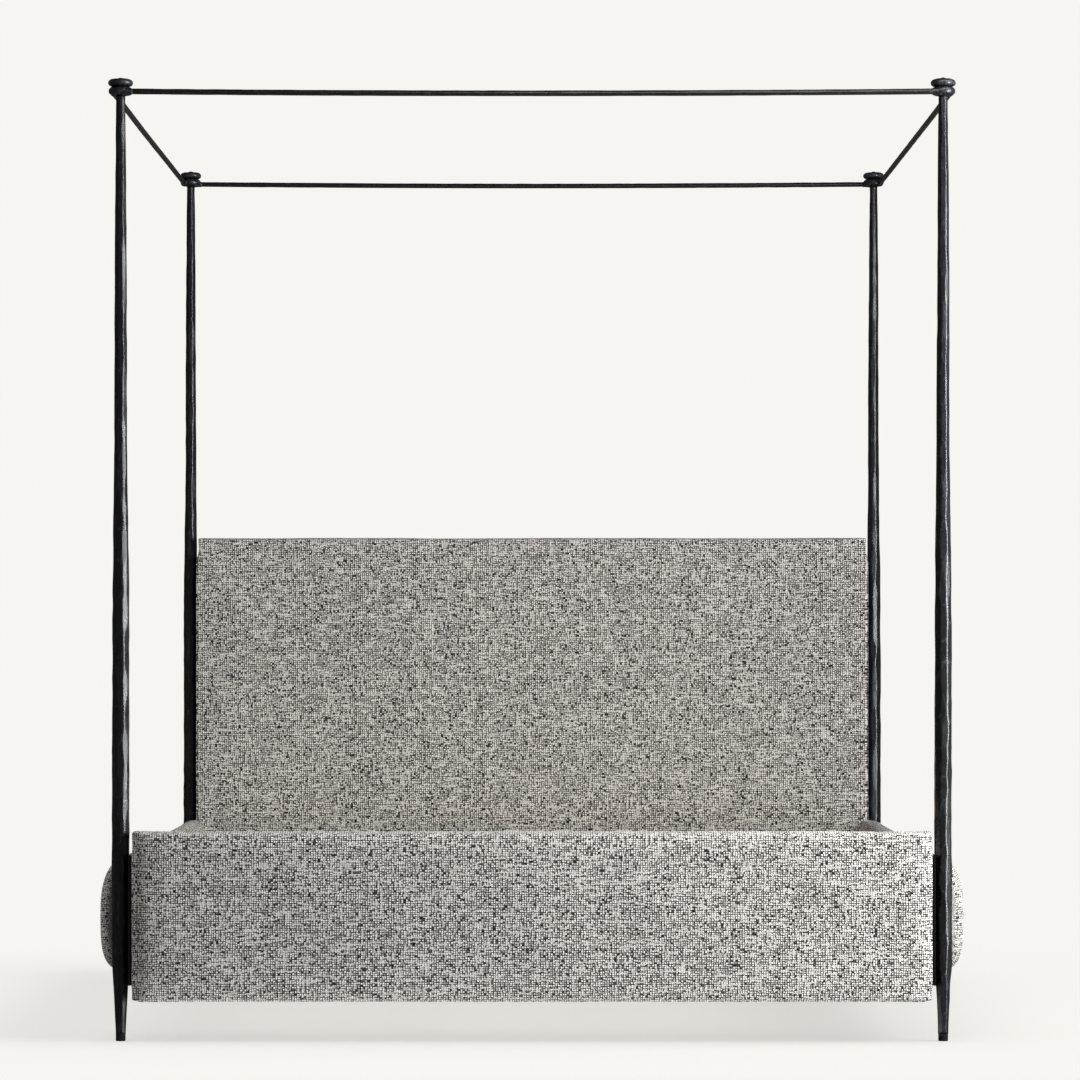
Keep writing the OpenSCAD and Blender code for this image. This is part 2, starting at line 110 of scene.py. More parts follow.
def bake_modifiers(piece):
    mesh = evaluated_mesh(piece)
    old = piece.data
    piece.modifiers.clear()
    piece.data = mesh
    mesh.name = piece.name
    bpy.data.meshes.remove(old)


def bumps(points, size, seed):
    """Smooth noise from -1 to 1 at each point, with lumps of about that size in metres."""
    shift = Vector((seed * 7.3, seed * 3.1, seed * 5.7))
    return np.array([noise.noise(Vector(p) / size + shift) for p in points])


def mark_ridges(mesh, values):
    mark = mesh.attributes.new("ridge", "FLOAT", "POINT")
    mark.data.foreach_set("value", np.asarray(values, np.float32))


# ---- Material tools --------------------------------------------------------------------


class Wire:
    """A number that flows through a material's nodes; arithmetic on it adds Math nodes."""

    def __init__(self, look, socket):
        self.look = look
        self.socket = socket

    def __add__(self, other):
        return self.look.math("ADD", self, other)

    def __sub__(self, other):
        return self.look.math("SUBTRACT", self, other)

    def __rsub__(self, other):
        return self.look.math("SUBTRACT", other, self)

    def __mul__(self, other):
        return self.look.math("MULTIPLY", self, other)

    def __truediv__(self, other):
        return self.look.math("DIVIDE", self, other)

    __radd__ = __add__
    __rmul__ = __mul__


class Look:
    """Builds one material around a Principled BSDF."""

    def __init__(self, name, **settings):
        self.material = bpy.data.materials.new(name)
        self.material.use_nodes = True
        self.tree = self.material.node_tree
        self.surface = self.tree.nodes["Principled BSDF"]
        for socket, value in settings.items():
            self.surface.inputs[socket.replace("_", " ")].default_value = value

    def plug(self, value, socket):
        if isinstance(value, Wire):
            self.tree.links.new(value.socket, socket)
        else:
            socket.default_value = value

    def node(self, kind, output, **inputs):
        made = self.tree.nodes.new("ShaderNode" + kind)
        for name, value in inputs.items():
            self.plug(value, made.inputs[name.replace("_", " ")])
        return Wire(self, made.outputs[output])

    def math(self, operation, *values):
        made = self.tree.nodes.new("ShaderNodeMath")
        made.operation = operation
        for value, socket in zip(values, made.inputs):
            self.plug(value, socket)
        return Wire(self, made.outputs[0])

    def position(self):
        return self.node("TexCoord", "Object")

    def uv(self, name):
        made = self.tree.nodes.new("ShaderNodeUVMap")
        made.uv_map = name
        return Wire(self, made.outputs["UV"])

    def attribute(self, name):
        made = self.tree.nodes.new("ShaderNodeAttribute")
        made.attribute_name = name
        return Wire(self, made.outputs["Fac"])

    def parts(self, vector):
        made = self.tree.nodes.new("ShaderNodeSeparateXYZ")
        self.plug(vector, made.inputs[0])
        return [Wire(self, socket) for socket in made.outputs]

    def vector(self, x, y, z=0.0):
        return self.node("CombineXYZ", "Vector", X=x, Y=y, Z=z)

    def noise(self, vector, scale, detail=2.0, rough=0.5):
        return self.node("TexNoise", "Fac", Vector=vector, Scale=scale, Detail=detail,
                         Roughness=rough)

    def dice(self, x, y, z=0.0):
        """A random number from 0 to 1 for each place."""
        return self.node("TexWhiteNoise", "Value", Vector=self.vector(x, y, z))

    def cells(self, vector, randomness):
        """Distance to the nearest of a grid of points that are moved a little, measured as in a
        square, and three random numbers for its cell."""
        made = self.tree.nodes.new("ShaderNodeTexVoronoi")
        made.distance = "CHEBYCHEV"
        made.inputs["Scale"].default_value = 1.0
        made.inputs["Randomness"].default_value = randomness
        self.plug(vector, made.inputs["Vector"])
        return [Wire(self, made.outputs["Distance"])] + self.parts(Wire(self, made.outputs["Color"]))

    def step(self, value, low, high):
        """0 below low, 1 above high, and smooth between them."""
        made = self.tree.nodes.new("ShaderNodeMapRange")
        made.interpolation_type = "SMOOTHSTEP"
        for name, number in (("Value", value), ("From Min", low), ("From Max", high)):
            self.plug(number, made.inputs[name])
        return Wire(self, made.outputs["Result"])

    def span(self, value, low, high, to_low, to_high):
        """Maps low..high to to_low..to_high and clamps."""
        made = self.tree.nodes.new("ShaderNodeMapRange")
        for socket, number in zip(made.inputs, (value, low, high, to_low, to_high)):
            self.plug(number, socket)
        return Wire(self, made.outputs["Result"])

    def mix(self, share, first, second, blend="MIX"):
        """A colour between two colours."""
        made = self.tree.nodes.new("ShaderNodeMix")
        made.data_type = "RGBA"
        made.blend_type = blend
        colours = [socket for socket in made.inputs if socket.type == "RGBA"]
        self.plug(share, made.inputs[0])
        for value, socket in zip((first, second), colours):
            if isinstance(value, Wire):
                self.plug(value, socket)
            else:
                socket.default_value = (*value, 1.0)
        return Wire(self, next(s for s in made.outputs if s.type == "RGBA"))

    def shade(self, colour, factor):
        """The colour times a number."""
        made = self.tree.nodes.new("ShaderNodeVectorMath")
        made.operation = "SCALE"
        self.plug(colour, made.inputs[0])
        self.plug(factor, made.inputs["Scale"])
        return Wire(self, made.outputs[0])

    def bump(self, height, distance, strength=1.0, under=None):
        made = self.tree.nodes.new("ShaderNodeBump")
        made.inputs["Distance"].default_value = distance
        made.inputs["Strength"].default_value = strength
        self.plug(height, made.inputs["Height"])
        if under is not None:
            self.plug(under, made.inputs["Normal"])
        return Wire(self, made.outputs["Normal"])

    def finish(self, colour, roughness, normal):
        self.plug(colour, self.surface.inputs["Base Color"])
        self.plug(roughness, self.surface.inputs["Roughness"])
        self.plug(normal, self.surface.inputs["Normal"])
        return self.material


# ---- Materials -------------------------------------------------------------------------

WARP_PITCH = 0.0059
WEFT_PITCH = 0.0056
NUB_EDGE = (0.23, 0.42)
YARN_EDGE = (0.08, 0.32)


def floating_yarn(look, across, along, share, rarity, seed, other_seed):
    """1 on short yarns that float over the weave: across counts the threads, along runs with
    them, and of the pieces that share cuts them into, all above rarity float."""
    number = look.math("FLOOR", across)
    off_middle = look.math("ABSOLUTE", across - number - 0.5)
    piece = look.math("FLOOR", along * share + look.dice(number, seed) * 9.0)
    floats = look.step(look.dice(number, piece, other_seed), rarity, rarity + 0.02)
    return floats * (1.0 - look.step(off_middle, *YARN_EDGE))


def tweed_look():
    """Nubby basket weave: off-white nubs with painted shade in the near-black gaps between them,
    short floating yarns, black slubs.
    """
    look = Look("tweed", Specular_IOR_Level=0.12, Sheen_Weight=0.04, Sheen_Roughness=0.6)
    place = look.uv("weave")
    u, v, _ = look.parts(place)
    drift_u = look.noise(place, 60.0, 2.0) - 0.5
    drift_v = look.noise(look.vector(v, u, 0.3), 60.0, 2.0) - 0.5
    warp = u / WARP_PITCH + drift_u * 0.8
    weft = v / WEFT_PITCH + drift_v * 0.8
    reach, tone, black, _ = look.cells(look.vector(warp, weft), 0.30)
    nub = 1.0 - look.step(reach, *NUB_EDGE)
    upright = floating_yarn(look, warp, weft, 0.34, 0.88, 3.0, 1.0)
    level = floating_yarn(look, weft, warp, 0.26, 0.86, 7.0, 2.0)
    run = look.math("MAXIMUM", upright, level)

    slub = look.step(black, 0.92, 0.94)
    # The gaps between the nubs are painted near black as shade, a little darker or lighter in each
    # cell.
    depth = look.dice(look.math("FLOOR", warp), look.math("FLOOR", weft), 31.0)
    gap_shade = look.mix(depth, (0.006, 0.005, 0.005), (0.06, 0.055, 0.05))
    yarn = look.mix(look.step(tone, -0.1, 0.8), (0.42, 0.40, 0.37), (1.0, 0.975, 0.93))
    cloth = look.mix(nub, gap_shade, yarn)
    cloth = look.mix(slub * (depth * 0.25 + 0.75), cloth, (0.014, 0.012, 0.012))
    cloth = look.mix(run * 0.8, cloth, (0.86, 0.835, 0.79))

    patches = look.noise(place, 30.0, 2.0) * 0.06 + look.noise(place, 4.0, 1.0) * 0.06
    cloth = look.shade(cloth, patches + 0.95)
    fibres = look.noise(look.position(), 1400.0, 2.0, 0.7)
    cloth = look.shade(cloth, fibres * 0.3 + 0.85)

    height = look.math("MAXIMUM", nub * (tone * 0.4 + 0.6), run) + fibres * 0.15
    normal = look.bump(height, 0.0012, 0.7)
    return look.finish(cloth, 0.92, normal)


def iron_look():
    """Blackened forged iron: dark scale with a waxy sheen, paler on the hammered ridges."""
    look = Look("blackened_iron", Metallic=0.0, Specular_IOR_Level=0.5)
    place = look.position()
    x, y, z = look.parts(place)
    ridge = look.attribute("ridge")
    streaks = look.noise(look.vector(x, y, z * 0.08), 420.0, 3.0, 0.6)
    mottle = look.noise(place, 38.0, 4.0, 0.6)
    pits = look.noise(place, 520.0, 3.0, 0.65)
    worn = look.step(ridge * 0.7 + streaks * 0.5 + mottle * 0.3, 0.62, 1.05)
    colour = look.mix(mottle, (0.003, 0.003, 0.0033), (0.009, 0.0088, 0.0095))
    colour = look.mix(worn * 0.5, colour, (0.040, 0.042, 0.048))
    roughness = look.span(mottle + pits * 0.4 - ridge * 0.15, 0.3, 1.0, 0.22, 0.36)
    normal = look.bump(streaks, 0.00016, 0.6)
    normal = look.bump(pits, 0.00035, 0.7, normal)
    normal = look.bump(mottle, 0.0008, 0.6, normal)
    return look.finish(colour, roughness, normal)


BOARDS_PER_METRE = {"x": 7.28, "y": 1.3}


def timber_look(name, pale, dark, along):
    """Planed softwood with its grain along one axis, a little different on each board."""
    look = Look(name, Specular_IOR_Level=0.35)
    x, y, z = look.parts(look.position())
    length, width = (x, y) if along == "x" else (y, x)
    board = look.math("ROUND", width * BOARDS_PER_METRE[along])
    shift = look.dice(board, 5.0) * 9.0
    grain_place = look.vector(length * 1.2 + shift, width * 14.0, z * 14.0)
    bend = look.noise(grain_place, 1.6, 2.0)
    rings = look.math("SINE", (width * 260.0 + z * 190.0) + bend * 26.0 + shift)
    fine = look.noise(look.vector(length * 9.0, width * 420.0, z * 420.0), 1.0, 2.0, 0.7)
    share = look.step(rings * 0.35 + fine * 0.7, -0.1, 0.95)
    colour = look.mix(share, pale, dark)
    colour = look.shade(colour, look.dice(board, 8.0) * 0.22 + 0.88)
    normal = look.bump(fine + share * 0.3, 0.0002, 0.5)
    return look.finish(colour, look.span(fine, 0.0, 1.0, 0.42, 0.6), normal)


def steel_look():
    """Black powder coat with its fine orange peel."""
    look = Look("dark_steel", Specular_IOR_Level=0.45)
    place = look.position()
    peel = look.noise(place, 900.0, 2.0)
    dust = look.noise(place, 26.0, 3.0, 0.6)
    colour = look.mix(dust, (0.016, 0.016, 0.017), (0.036, 0.035, 0.035))
    return look.finish(colour, look.span(dust, 0.2, 0.8, 0.38, 0.56), look.bump(peel, 0.00025, 0.6))


def nylon_look():
    """Moulded nylon with a spark-eroded grain."""
    look = Look("black_nylon", Specular_IOR_Level=0.4)
    place = look.position()
    grain = look.noise(place, 1600.0, 2.0)
    scuffs = look.noise(place, 90.0, 4.0, 0.7)
    colour = look.mix(look.step(scuffs, 0.45, 0.8), (0.010, 0.010, 0.011), (0.030, 0.029, 0.028))
    return look.finish(colour, look.span(scuffs, 0.3, 0.7, 0.5, 0.68), look.bump(grain, 0.0001, 0.6))


def webbing_look():
    """Woven cotton tape in a fine herringbone."""
    look = Look("webbing", Specular_IOR_Level=0.2, Sheen_Weight=0.1)
    x, y, _ = look.parts(look.position())
    zigzag = look.math("PINGPONG", x, 0.0042)
    ribs = look.math("SINE", (y + zigzag) * 3400.0)
    fluff = look.noise(look.position(), 900.0, 2.0)
    colour = look.mix(ribs * 0.35 + fluff * 0.4, (0.70, 0.66, 0.58), (0.46, 0.43, 0.37))
    return look.finish(colour, 0.9, look.bump(ribs, 0.0003, 0.7))


def lining_look():
    """Black dust cover under the padded pieces."""
    look = Look("dust_cover", Specular_IOR_Level=0.1)
    place = look.position()
    threads = look.noise(place, 1100.0, 2.0, 0.7)
    cloudy = look.noise(place, 14.0, 2.0)
    colour = look.mix(threads * 0.6 + cloudy * 0.3, (0.008, 0.008, 0.009), (0.030, 0.029, 0.029))
    return look.finish(colour, 0.95, look.bump(threads, 0.0003, 0.6))


TWEED = tweed_look()
LINING = lining_look()
LOOKS = {
    "blackened_iron": iron_look(),
    "tweed": TWEED,
    "timber": timber_look("timber", (0.66, 0.50, 0.31), (0.47, 0.31, 0.16), "y"),
    "slat_timber": timber_look("slat_timber", (0.68, 0.53, 0.35), (0.50, 0.34, 0.19), "x"),
    "dark_steel": steel_look(),
    "black_nylon": nylon_look(),
    "webbing": webbing_look(),
}
IRON = LOOKS["blackened_iron"]


# ---- Forged ironwork -------------------------------------------------------------------

TENON = 0.013
POST_SIDES = 56
BAR_SIDES = 28
POST_RINGS = 362
BAR_RINGS = 260
BLEND = 15
WOBBLE = 0.0012
LONG_BAR_SAG = 0.0048
SHORT_BAR_SAG = 0.0015


class Hammer:
    """Blows that flatten a round bar: how many rows round it, their length and depth."""

    def __init__(self, seed, rows, length, depth):
        self.random = np.random.default_rng(seed)
        self.rows = rows
        self.length = length
        self.depth = depth

    def blows(self, start, end):
        """(middle, half length, facing angle, depth share) of every blow along the bar."""
        for row in range(self.rows):
            middle = start - self.random.uniform(0, self.length[1])
            while middle < end + self.length[0]:
                half = self.random.uniform(*self.length) / 2
                facing = (row + self.random.uniform(-0.28, 0.28)) * 2 * math.pi / self.rows
                yield middle, half, facing, self.random.uniform(0.55, 1.15)
                middle += half * self.random.uniform(1.1, 1.7)


def turned(angle):
    """An angle brought into -pi..pi."""
    return (angle + math.pi) % (2 * math.pi) - math.pi


def hammered(along, radius, sides, hammer, flats=()):
    """Radius at each station and angle of a hammered bar, and how near each is to a ridge."""
    angles = np.arange(sides) * 2 * math.pi / sides
    low = np.repeat(radius[:, None], sides, 1)
    second = low + 0.01
    cuts = []
    for middle, half, facing, share in hammer.blows(along[0], along[-1]):
        place = (along - middle) / half
        rows = np.abs(place) < 1.1
        depth = hammer.depth * share * radius[rows]
        cuts.append((rows, radius[rows] - depth * (1 - place[rows] ** 2), facing))
    for start, end, facing, reach in flats:
        rows = (along > start) & (along < end)
        cuts.append((rows, np.full(rows.sum(), reach), facing))
    for rows, plane, facing in cuts:
        cosine = np.cos(turned(angles - facing))
        cut = plane[:, None] / np.where(cosine > 0.3, cosine, np.nan)[None, :]
        cut = np.nan_to_num(cut, nan=1.0)
        before = low[rows]
        low[rows] = np.minimum(before, cut)
        second[rows] = np.minimum(second[rows], np.maximum(before, cut))
    ridge_width = 0.012 * radius[:, None]
    ridge = np.exp(-(second - low) / ridge_width)
    rounded = low - 0.35 * ridge_width * ridge
    return rounded, ridge


def rod(name, axis, centres, radii, ridge):
    """A closed bar whose rings stand square to one axis."""
    count, sides = radii.shape
    first, other = (axis + 1) % 3, (axis + 2) % 3
    angles = np.arange(sides) * 2 * math.pi / sides
    points = np.repeat(centres[:, None, :], sides, 1)
    points[:, :, first] += radii * np.cos(angles)
    points[:, :, other] += radii * np.sin(angles)
    index = np.arange(count * sides).reshape(count, sides)
    beside = np.roll(index, -1, 1)
    quads = np.stack([index[:-1], beside[:-1], beside[1:], index[1:]], -1).reshape(-1, 4).tolist()
    mesh = mesh_of(name, points.reshape(-1, 3), quads + [index[0][::-1].tolist(), index[-1].tolist()])
    mark_ridges(mesh, ridge.ravel())
    return new_object(name, mesh, IRON)


def settle(piece, node, body="root"):
    """The piece rides on a body and stands for a CAD node."""
    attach(piece, body)
    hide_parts(node)
    return piece


def turned_profile(node, axis_x, axis_y, thinnest):
    """Heights and radii of a turned CAD part; thinnest leaves out the rings in its bores."""
    points = vertices(nodes[node].data)
    heights = np.round(points[:, 2], 4)
    reach = np.hypot(points[:, 0] - axis_x, points[:, 1] - axis_y)
    levels = [z for z in np.unique(heights) if reach[heights == z].max() > thinnest]
    return levels, [reach[heights == z].max() for z in levels]


def post_radii(levels, reaches, along):
    """The turned profile's radius at each station, blended over its neighbours."""
    radius = np.interp(along, levels, reaches)
    kernel = np.hanning(BLEND) / np.hanning(BLEND).sum()
    return np.convolve(np.pad(radius, BLEND // 2, mode="edge"), kernel, "valid")


def forged_post(end, side, seed):
    """A tapered post, hammered all over, with a flat where its plate sits."""
    corner = f"{end}_{side}"
    low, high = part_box(corner + "_foot_cap")
    x, y = (low.x + high.x) / 2, (low.y + high.y) / 2
    levels, reaches = turned_profile(corner + "_post", x, y, 0.8 * (high.x - low.x) / 2)
    along = np.linspace(levels[0], levels[-1], POST_RINGS)
    radius = post_radii(levels, reaches, along)
    plate_low, plate_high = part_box(corner + "_post_plate")
    face = plate_high.x if SIDES[side] > 0 else plate_low.x
    toward_panel = math.pi if SIDES[side] > 0 else 0.0
    flats = [(plate_low.z, plate_high.z, toward_panel, abs(face - x))]
    hammer = Hammer(seed, 8, (0.06, 0.15), 0.085)
    before_blows = radius * 1.035
    radii, ridge = hammered(along, before_blows, POST_SIDES, hammer, flats)
    ease = np.clip((along[-1] - along) / 0.03, 0, 1)[:, None]
    radii = radii * ease + radius[:, None] * (1 - ease)
    wobble = np.stack([bumps([(seed, k, z) for z in along], 0.5, seed + k) for k in (1, 2)], 1)
    fade = np.clip(np.minimum(along - 0.1, along[-1] - along - 0.1) / 0.4, 0, 1)[:, None]
    centres = np.column_stack([[x, y] + wobble * fade * WOBBLE, along])
    post = rod(corner + "_forged_post", 2, centres, radii, ridge)
    return settle(post, corner + "_post")


def forged_bar(name, axis, sag, seed):
    """A canopy bar with its shoulders eased at the seams, sagging a little under its weight."""
    low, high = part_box(name)
    start, end = low[axis] + TENON, high[axis] - TENON
    shoulder = np.array([0, 0.0008, 0.0018, 0.0035])
    middle = np.linspace(start + 0.008, end - 0.008, BAR_RINGS)
    along = np.concatenate([start + shoulder, middle, (end - shoulder)[::-1]])
    thickness = (high - low)[(axis + 1) % 3] / 2
    radius = np.full(len(along), thickness)
    hammer = Hammer(seed, 7, (0.035, 0.09), 0.075)
    before_blows = radius * 1.02
    radii, ridge = hammered(along, before_blows, BAR_SIDES, hammer)
    inset = np.array([0.0013, 0.0006, 0.0002, 0.0])
    radii[:4] -= inset[:, None]
    radii[-4:] -= inset[::-1, None]
    centre = (low + high) / 2
    centres = np.tile(np.array(centre), (len(along), 1))
    centres[:, axis] = along
    share = (along - start) / (end - start)
    centres[:, 2] -= sag * 4 * share * (1 - share)
    sideways = bumps([(seed, 4.0, s) for s in along], 0.4, seed)
    centres[:, 1 - axis] += sideways * WOBBLE * np.sin(math.pi * share)
    return settle(rod(name + "_forged", axis, centres, radii, ridge), name)


def convexity(mesh):
    """How far each vertex stands out from its neighbours, along its normal, in metres."""
    edges = np.zeros(len(mesh.edges) * 2, int)
    mesh.edges.foreach_get("vertices", edges)
    edges = edges.reshape(-1, 2)
    points = vertices(mesh)
    total, count = np.zeros_like(points), np.zeros(len(points))
    for a, b in (edges.T, edges.T[::-1]):
        np.add.at(total, a, points[b])
        np.add.at(count, a, 1)
    return ((points - total / count[:, None]) * normals(mesh)).sum(1)


def forged_copy(node, seed, voxel=0.0012, smooth=9, dent=0.0006, upset=0.0009):
    """A CAD fitting with its edges melted together and its faces dented by the hammer."""
    piece = new_object(node + "_forged", nodes[node].data.copy())
    remesh = piece.modifiers.new("Remesh", "REMESH")
    remesh.mode = "VOXEL"
    remesh.voxel_size = voxel
    soften = piece.modifiers.new("Soften", "SMOOTH")
    soften.factor = 0.5
    soften.iterations = smooth
    bake_modifiers(piece)
    mesh = piece.data
    mesh.materials.clear()
    mesh.materials.append(IRON)
    mesh.polygons.foreach_set("use_smooth", [True] * len(mesh.polygons))
    points = vertices(mesh)
    lumps = bumps(points, 0.017, seed) + 0.5 * bumps(points, 0.008, seed + 9)
    set_vertices(mesh, points + normals(mesh) * (upset + lumps * dent)[:, None])
    mark_ridges(mesh, np.clip(convexity(mesh) / 0.00006, 0, 1))
    return settle(piece, node)


def ironwork():
    seed = 11
    for end in ENDS:
        for side in SIDES:
            forged_post(end, side, seed)
            forged_copy(f"{end}_{side}_corner_ring", seed + 100)
            forged_copy(f"{end}_{side}_finial", seed + 200, smooth=6)
            seed += 7
    forged_bar("front_canopy_bar", 0, LONG_BAR_SAG, 71)
    forged_bar("rear_canopy_bar", 0, LONG_BAR_SAG, 72)
    forged_bar("left_canopy_bar", 1, SHORT_BAR_SAG, 73)
    forged_bar("right_canopy_bar", 1, SHORT_BAR_SAG, 74)


# ---- Upholstery ------------------------------------------------------------------------

GRID = 0.019
FOAM_HOLD = 0.30
SWELL_FRAMES = 20
OUTER_CORNER = (0.050, 0.028)
INNER_CORNER = (0.014, 0.014)
PANEL_FILLET = 0.008
PANEL_CROWN = 0.0015
TUCK_DEPTH = 0.018
TUCK_RISE = 0.018
TUCK_ROW = 0.0065
PUFF = 0.011
EAR_OUT = 0.003
EAR_UP = 0.005
RAIL_STEP = 0.0135
RAIL_CREST = 0.028
RAIL_ROUND = 0.024
RAIL_WADDING = 0.002
GAP = 0.001


def arc(centre, size, start, end, steps):
    """Points of an ellipse's arc, in degrees, without the last one."""
    angles = np.radians(np.linspace(start, end, steps + 1)[:-1])
    return [(centre[0] + size[0] * math.cos(a), centre[1] + size[1] * math.sin(a)) for a in angles]


def straight(start, end, steps):
    """Points of a straight line without the last one."""
    return [tuple(p) for p in np.linspace(start, end, steps + 1)[:-1]]


def panel_outline(half, low, high, low_corner, high_corner, across, deep):
    """The plan of a padded panel, in four sections that start and end halfway round a corner."""
    (a, b), (c, d) = low_corner, high_corner
    bends = 3
    corners = {
        "front_left": ((-half + a, low + b), (a, b)),
        "front_right": ((half - a, low + b), (a, b)),
        "back_right": ((half - c, high - d), (c, d)),
        "back_left": ((-half + c, high - d), (c, d)),
    }
    sections = []
    for first, second, angle, start, end, steps in (
        ("front_left", "front_right", 225, (-half + a, low), (half - a, low), across),
        ("front_right", "back_right", 315, (half, low + b), (half, high - d), deep),
        ("back_right", "back_left", 45, (half - c, high), (-half + c, high), across),
        ("back_left", "front_left", 135, (-half, high - d), (-half, low + b), deep),
    ):
        sections.append(
            arc(*corners[first], angle, angle + 45, bends)
            + straight(start, end, steps)
            + arc(*corners[second], angle + 45, angle + 90, bends)
        )
    return sections


def outward(outline):
    """Unit normals of a closed plan that runs anticlockwise."""
    run = np.roll(outline, -1, 0) - np.roll(outline, 1, 0)
    normal = np.column_stack([run[:, 1], -run[:, 0]])
    return normal / np.linalg.norm(normal, axis=1)[:, None]


def patch(south, east, north, west):
    """Inner points of a surface between four edges: south and north run one way, west and east
    the other, and all four share their corners."""
    s = np.linspace(0, 1, len(south))[1:-1, None, None]
    t = np.linspace(0, 1, len(west))[None, 1:-1, None]
    along = (1 - t) * south[1:-1, None] + t * north[1:-1, None]
    beside = (1 - s) * west[None, 1:-1] + s * east[None, 1:-1]
    corners = ((1 - s) * (1 - t) * south[0] + s * (1 - t) * south[-1]
               + (1 - s) * t * north[0] + s * t * north[-1])
    return along + beside - corners


class Cover:
    """A closed mesh of quads that grows row by row, with the cloth's own lengths as its UVs."""

    def __init__(self):
        self.points = []
        self.faces = []
        self.uvs = []
        self.slots = []

    def add(self, points):
        start = len(self.points)
        self.points.extend(np.asarray(points).tolist())
        return np.arange(start, len(self.points))

    def quad(self, corners, uvs, slot=0):
        self.faces.append([int(c) for c in corners])
        self.uvs.extend(uvs)
        self.slots.append(slot)

    def band(self, lower, upper, run, low, high, slot=0):
        """Quads between two rings; run is the length along the ring at each point."""
        count = len(lower)
        for k in range(count):
            n = (k + 1) % count
            self.quad((lower[k], lower[n], upper[n], upper[k]),
                      ((run[k], low), (run[k + 1], low), (run[k + 1], high), (run[k], high)), slot)

    def grid(self, table, uv, flip=False, slots=None):
        """Quads over a table of vertex numbers; uv gives a vertex its place on the cloth."""
        for i in range(table.shape[0] - 1):
            for j in range(table.shape[1] - 1):
                corners = [table[i, j], table[i + 1, j], table[i + 1, j + 1], table[i, j + 1]]
                if flip:
                    corners.reverse()
                self.quad(corners, [uv(c) for c in corners], slots(i, j) if slots else 0)

    def piece(self, name):
        mesh = mesh_of(name, self.points, self.faces)
        layer = mesh.uv_layers.new(name="weave")
        layer.data.foreach_set("uv", np.asarray(self.uvs, np.float32).ravel())
        mesh.polygons.foreach_set("material_index", self.slots)
        return new_object(name, mesh, TWEED, LINING)


def ring_lengths(outline):
    """The length along a closed plan at each point, and once more back at the first."""
    steps = np.linalg.norm(np.roll(outline, -1, 0) - outline, axis=1)
    return np.concatenate([[0], np.cumsum(steps)])


def end_table(cover, ring, sections, lift, height):
    """Vertex numbers of a panel's flat top or bottom, as a table; lift crowns its middle."""
    loop = np.asarray(cover.points)[ring]
    counts = [len(section) for section in sections]
    marks = np.concatenate([[0], np.cumsum(counts)])
    closed = np.concatenate([ring, ring[:1]])
    south, east, north, west = (closed[marks[k]:marks[k + 1] + 1] for k in range(4))
    north, west = north[::-1], west[::-1]
    points = np.asarray(cover.points)
    inner = patch(points[south], points[east], points[north], points[west])
    deep = loop[:, 1]
    middle, half = (deep.max() + deep.min()) / 2, (deep.max() - deep.min()) / 2
    inner[:, :, 2] = height + lift * (1 - ((inner[:, :, 1] - middle) / half) ** 2)
    table = np.zeros((len(south), len(west)), int)
    table[:, 0], table[:, -1], table[0, :], table[-1, :] = south, north, west, east
    table[1:-1, 1:-1] = cover.add(inner.reshape(-1, 3)).reshape(inner.shape[:2])
    return table


def panel_levels(low, high, tuck):
    """Heights of a panel's rings and how far each is pulled in; closer together at the tuck."""
    bends = np.radians([0, 30, 60, 90])
    turns = [(PANEL_FILLET * (1 - math.sin(b)), PANEL_FILLET * (1 - math.cos(b))) for b in bends]
    rows = round((high - low - 2 * PANEL_FILLET) / GRID)
    flat = np.linspace(low + PANEL_FILLET, high - PANEL_FILLET, rows + 1)[1:-1]
    if tuck:
        near = tuck + np.arange(-4, 10) * TUCK_ROW
        below, above = flat[flat < near[0] - 0.006], flat[flat > near[-1] + 0.006]
        flat = np.concatenate([below, near, above])
    return ([(low + rise, inset) for rise, inset in turns[::-1]]
            + [(z, 0.0) for z in flat]
            + [(high - drop, inset) for drop, inset in turns])


def panel_cover(name, node, outer_is_front, tuck):
    """The closed cover of the headboard or the footboard, and its vertices on the lining."""
    low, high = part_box(node)
    half = high.x
    near, far = (OUTER_CORNER, INNER_CORNER) if outer_is_front else (INNER_CORNER, OUTER_CORNER)
    across = round((2 * half - 2 * OUTER_CORNER[0]) / GRID)
    sections = panel_outline(half, low.y, high.y, near, far, across, 3)
    outline = np.array([point for section in sections for point in section])
    normal = outward(outline)
    run = ring_lengths(outline)
    run -= run[len(sections[0]) // 2]
    levels = panel_levels(low.z, high.z, tuck)

    cover = Cover()
    rings = [cover.add(np.column_stack([outline - inset * normal, np.full(len(outline), z)]))
             for z, inset in levels]
    steps = [math.hypot(b[0] - a[0], b[1] - a[1]) for a, b in zip(levels, levels[1:])]
    heights = low.z + np.concatenate([[0], np.cumsum(steps)])
    for k in range(len(rings) - 1):
        cover.band(rings[k], rings[k + 1], run, heights[k], heights[k + 1])

    def on_top(vertex):
        x, y, _ = cover.points[vertex]
        return (x, heights[-1] + y - low.y)

    top = end_table(cover, rings[-1], sections, PANEL_CROWN, high.z)
    cover.grid(top, on_top)
    under = end_table(cover, rings[0], sections, 0.0, low.z)
    shape = under.shape
    cover.grid(under, on_top, flip=True,
               slots=lambda i, j: int(1 < i < shape[0] - 3 and 1 < j < shape[1] - 3))
    return cover.piece(name), set(under[2:-2, 2:-2].ravel().tolist())


